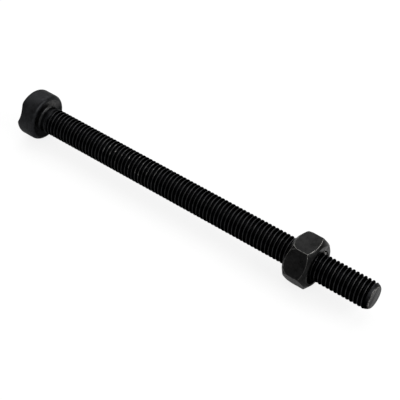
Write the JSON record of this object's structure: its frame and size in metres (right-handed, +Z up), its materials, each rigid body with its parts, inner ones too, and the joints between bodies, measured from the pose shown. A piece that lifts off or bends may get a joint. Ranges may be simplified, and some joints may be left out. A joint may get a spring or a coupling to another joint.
{
  "type": "guide pin",
  "caption": "Long black steel guide pin: threaded shank under a plain round head with a shallow groove across its top, chamfered tip, and a hexagon nut that runs along the thread.",
  "frame": {"origin": "on the bolt's axis, in the plane of the seat under the head", "axes": "+X along the axis from the head to the tip, +Z up as the pin lies on a table with a flat of the nut down"},
  "size_m": [0.1479, 0.0192, 0.0176],
  "materials": {
    "pin_steel": "black oxide, satin, bare grey on the cut end",
    "nut_steel": "black oxide, satin, bright on the worn edges"
  },
  "bodies": {
    "pin": {"guide_pin": "pin_steel"},
    "nut": {"hex_nut": "nut_steel"}
  },
  "joints": [
    {"name": "nut_travel", "type": "slide", "parent": "pin", "child": "nut", "axis": [1, 0, 0], "range_m": [-0.105, 0.021]}
  ]
}
